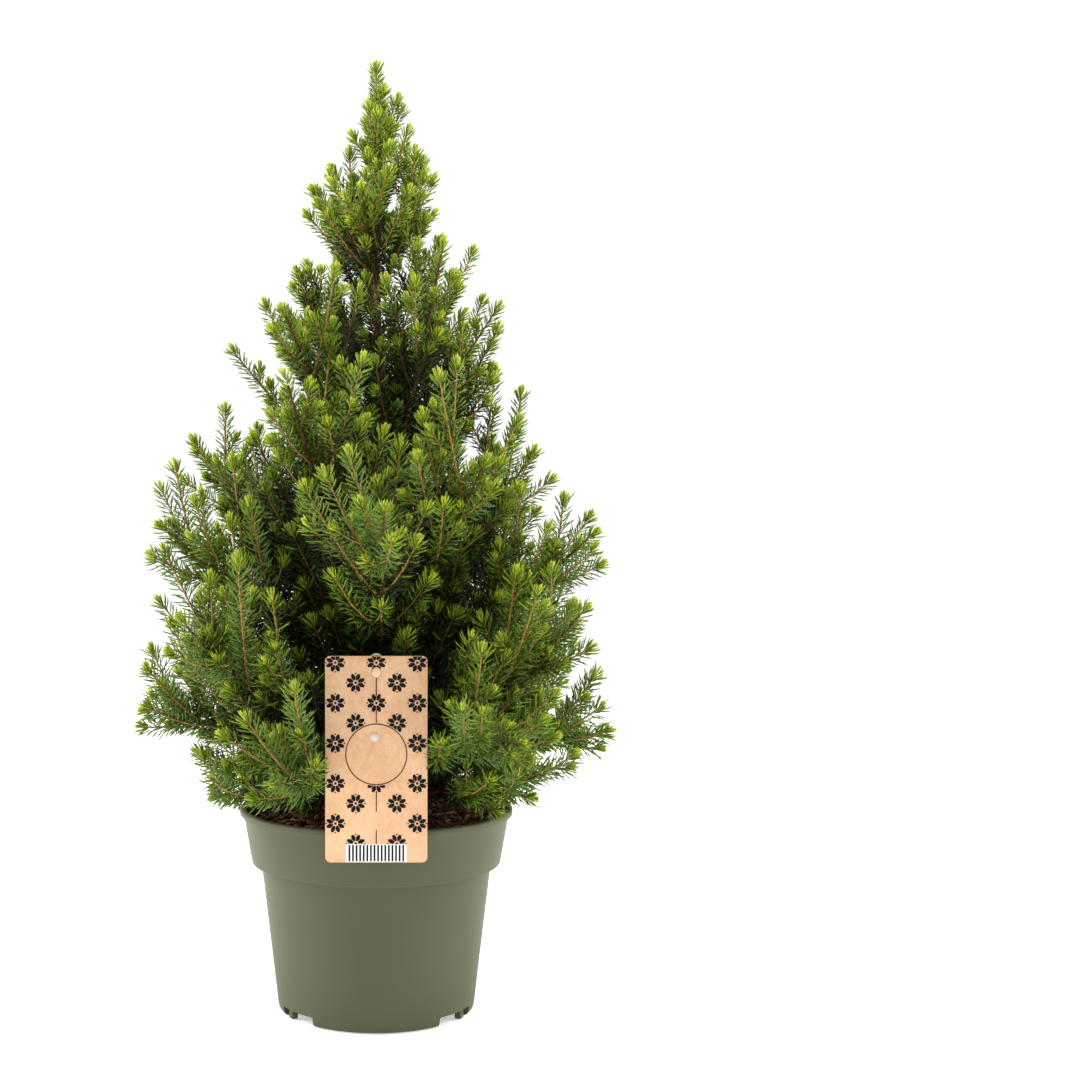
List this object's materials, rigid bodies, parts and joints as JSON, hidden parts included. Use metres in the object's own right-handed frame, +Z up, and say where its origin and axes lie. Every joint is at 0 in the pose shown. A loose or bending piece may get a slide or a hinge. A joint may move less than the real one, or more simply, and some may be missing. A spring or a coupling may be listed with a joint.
{
  "type": "potted alberta spruce",
  "caption": "young cone-shaped spruce with dense whorls of short-needled boughs, in a sage-green plastic nursery pot with a kraft card label on a pick at the front",
  "frame": {"origin": "middle of the pot's flat underside", "axes": "+Z up along the trunk; -Y is the front, where the card label hangs; +X is to the right seen from the front"},
  "size_m": [0.3317, 0.3262, 0.658],
  "materials": {
    "pot": "satin moulded plastic, sage green",
    "mulch": "coarse moist bark mulch over growing medium",
    "bark": "rough flaking bark",
    "foliage": "fine green needles on thin twigs",
    "card": "uncoated kraft card with a printed pattern",
    "pick": "pale green moulded plastic"
  },
  "bodies": {
    "root": {"pot": "pot", "soil": "mulch", "trunk": "bark", "label_pick": "pick", "label_card": "card", "foliage_skirt_1": "foliage", "foliage_skirt_2": "foliage", "foliage_skirt_3": "foliage", "foliage_skirt_4": "foliage", "foliage_skirt_6": "foliage", "bough_low_1": "bark", "foliage_low_1": "foliage", "bough_low_2": "bark", "foliage_low_2": "foliage", "bough_low_3": "bark", "foliage_low_3": "foliage", "bough_low_4": "bark", "foliage_low_4": "foliage", "bough_low_5": "bark", "foliage_low_5": "foliage", "bough_low_6": "bark", "foliage_low_6": "foliage", "bough_broad_1": "bark", "foliage_broad_1": "foliage", "bough_broad_2": "bark", "foliage_broad_2": "foliage", "bough_broad_3": "bark", "foliage_broad_3": "foliage", "bough_broad_4": "bark", "foliage_broad_4": "foliage", "bough_broad_6": "bark", "foliage_broad_6": "foliage", "bough_shoulder_1": "bark", "foliage_shoulder_1": "foliage", "bough_shoulder_2": "bark", "foliage_shoulder_2": "foliage", "bough_shoulder_3": "bark", "foliage_shoulder_3": "foliage", "bough_shoulder_4": "bark", "foliage_shoulder_4": "foliage", "bough_shoulder_5": "bark", "foliage_shoulder_5": "foliage", "bough_middle_1": "bark", "foliage_middle_1": "foliage", "bough_middle_2": "bark", "foliage_middle_2": "foliage", "bough_middle_3": "bark", "foliage_middle_3": "foliage", "bough_middle_4": "bark", "foliage_middle_4": "foliage", "bough_middle_5": "bark", "foliage_middle_5": "foliage", "foliage_upper_1": "foliage", "foliage_upper_2": "foliage", "foliage_upper_3": "foliage", "foliage_upper_4": "foliage", "foliage_high_1": "foliage", "foliage_high_2": "foliage", "foliage_high_3": "foliage", "foliage_leader": "foliage"}
  },
  "joints": []
}
